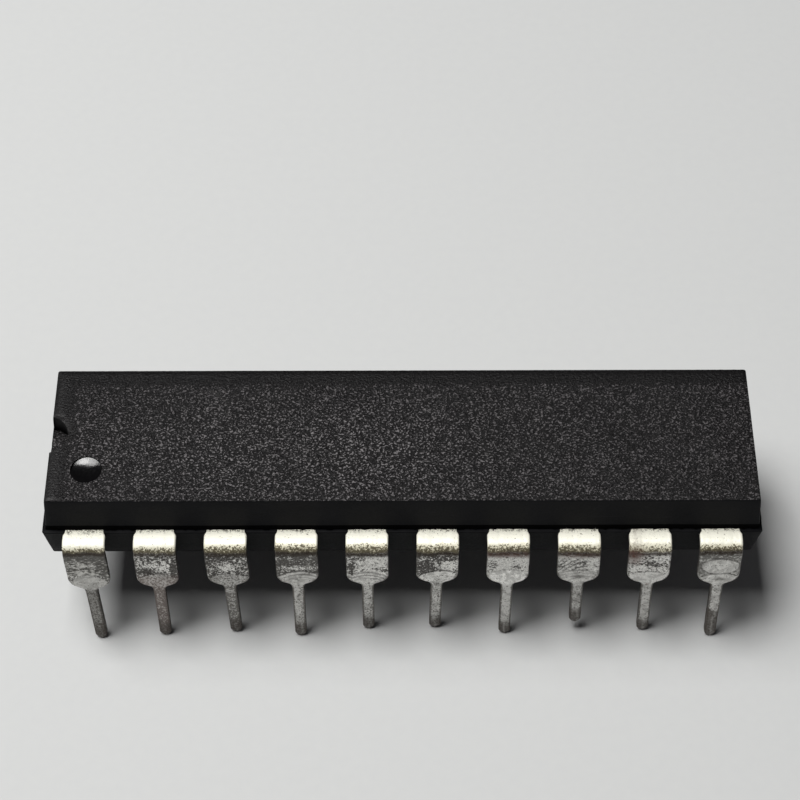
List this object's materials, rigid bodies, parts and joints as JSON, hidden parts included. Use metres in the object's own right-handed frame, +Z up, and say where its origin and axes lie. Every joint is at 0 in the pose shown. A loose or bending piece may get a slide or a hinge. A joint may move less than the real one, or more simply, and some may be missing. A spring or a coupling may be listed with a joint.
{
  "type": "dual in-line integrated circuit chip",
  "caption": "Black moulded plastic dual in-line integrated circuit chip with two rows of bent tinned leads, a notched end and a pin 1 dimple.",
  "frame": {"origin": "on the surface that the lead tips stand on, under the middle of the body", "axes": "+X along the body, away from the notched end; +Y across it, away from the row with pin 1; +Z up through the top face"},
  "size_m": [0.026, 0.0084, 0.0071],
  "materials": {
    "moulding_compound": "fine spark-eroded grain on top, satin on the sides",
    "tinned_lead": "tin and solder plating, dull and oxidised, brighter over the bend",
    "copper_alloy": "satin",
    "silver_epoxy": "matte",
    "silicon": "polished",
    "gold_wire": "polished"
  },
  "bodies": {
    "root": {"moulded_body": "moulding_compound", "die_paddle": "copper_alloy", "die_attach": "silver_epoxy", "silicon_die": "silicon", "lead_01": "tinned_lead", "lead_02": "tinned_lead", "lead_03": "tinned_lead", "lead_04": "tinned_lead", "lead_05": "tinned_lead", "lead_06": "tinned_lead", "lead_07": "tinned_lead", "lead_08": "tinned_lead", "lead_09": "tinned_lead", "lead_10": "tinned_lead", "lead_11": "tinned_lead", "lead_12": "tinned_lead", "lead_13": "tinned_lead", "lead_14": "tinned_lead", "lead_15": "tinned_lead", "lead_16": "tinned_lead", "lead_17": "tinned_lead", "lead_18": "tinned_lead", "lead_19": "tinned_lead", "lead_20": "tinned_lead", "bond_wire_01": "gold_wire", "bond_wire_02": "gold_wire", "bond_wire_03": "gold_wire", "bond_wire_04": "gold_wire", "bond_wire_05": "gold_wire", "bond_wire_06": "gold_wire", "bond_wire_07": "gold_wire", "bond_wire_08": "gold_wire", "bond_wire_09": "gold_wire", "bond_wire_10": "gold_wire", "bond_wire_11": "gold_wire", "bond_wire_12": "gold_wire", "bond_wire_13": "gold_wire", "bond_wire_14": "gold_wire", "bond_wire_15": "gold_wire", "bond_wire_16": "gold_wire", "bond_wire_17": "gold_wire", "bond_wire_18": "gold_wire", "bond_wire_19": "gold_wire", "bond_wire_20": "gold_wire"}
  },
  "joints": []
}
